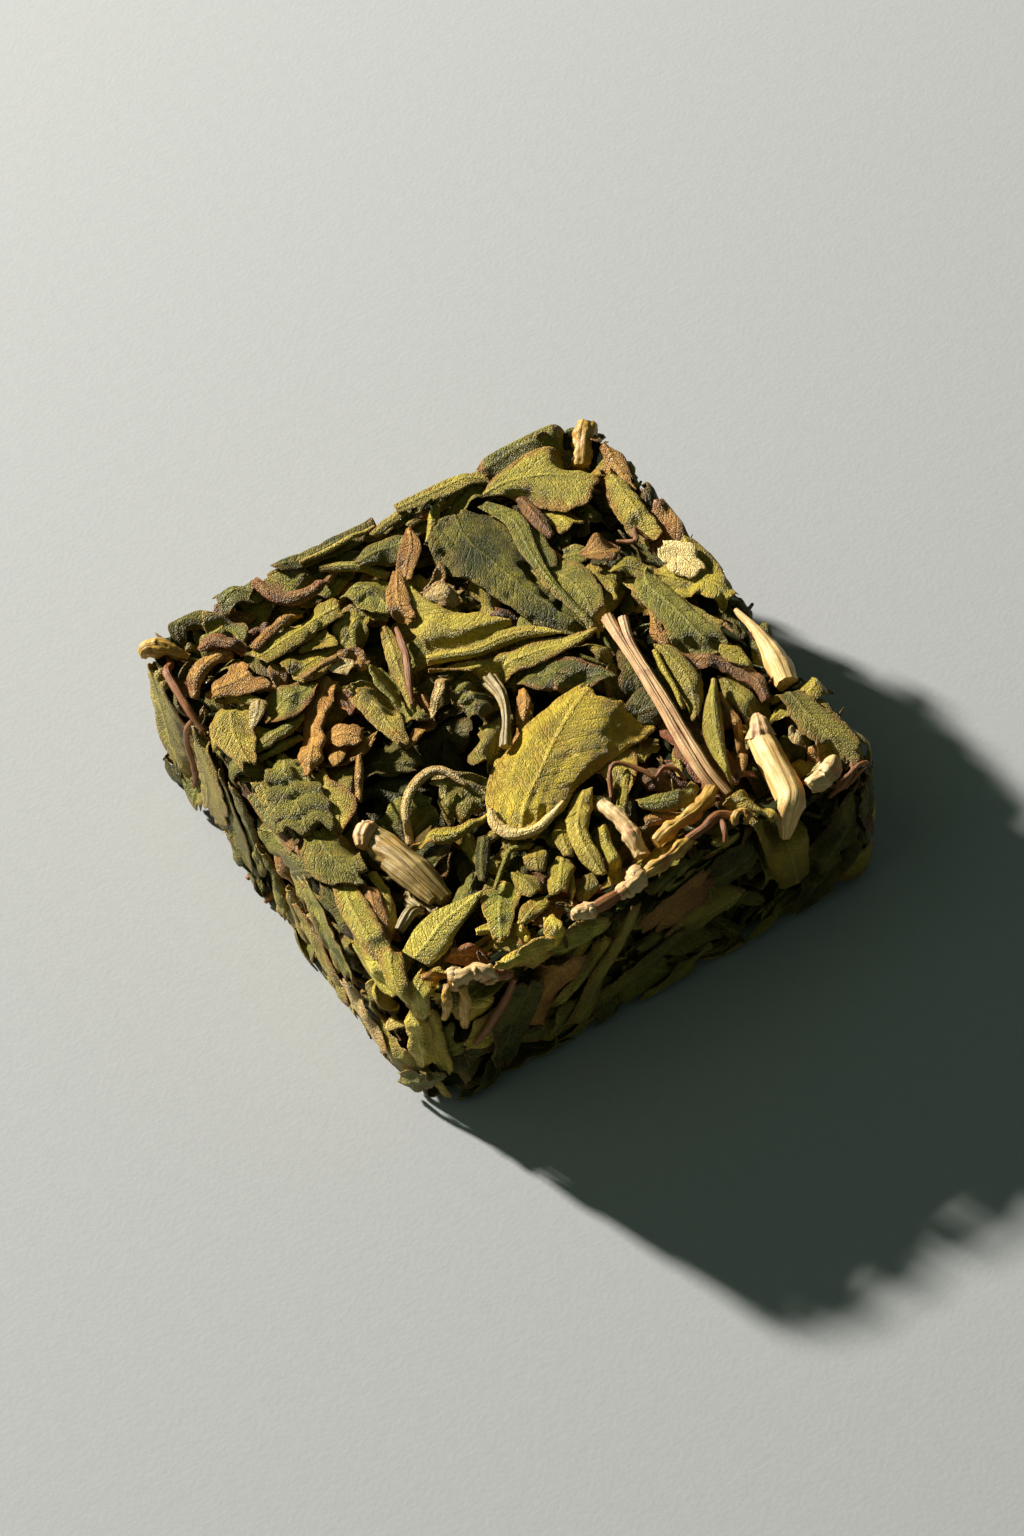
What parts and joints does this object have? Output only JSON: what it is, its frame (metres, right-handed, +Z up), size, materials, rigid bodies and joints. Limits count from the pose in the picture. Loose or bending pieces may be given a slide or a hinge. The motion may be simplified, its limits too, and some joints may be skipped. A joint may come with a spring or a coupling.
{
  "type": "tea brick",
  "caption": "Small square brick of pressed whole tea leaves and stalks, with flat uneven faces, soft rims and one worn corner, to be broken up and steeped.",
  "frame": {"origin": "centre of the flat face that the brick rests on", "axes": "+Z up through the thickness; +X and +Y along the sides; the worn upright corner is at -X -Y"},
  "size_m": [0.042, 0.042, 0.0152],
  "materials": {
    "olive_leaf": "dry matt leaf, olive green",
    "dark_leaf": "dry leaf, dark green with a dull sheen",
    "brown_leaf": "dry oxidised leaf, red brown",
    "stalk": "dry ribbed stalk, straw"
  },
  "bodies": {
    "root": {"brick": "olive_leaf"}
  },
  "joints": []
}
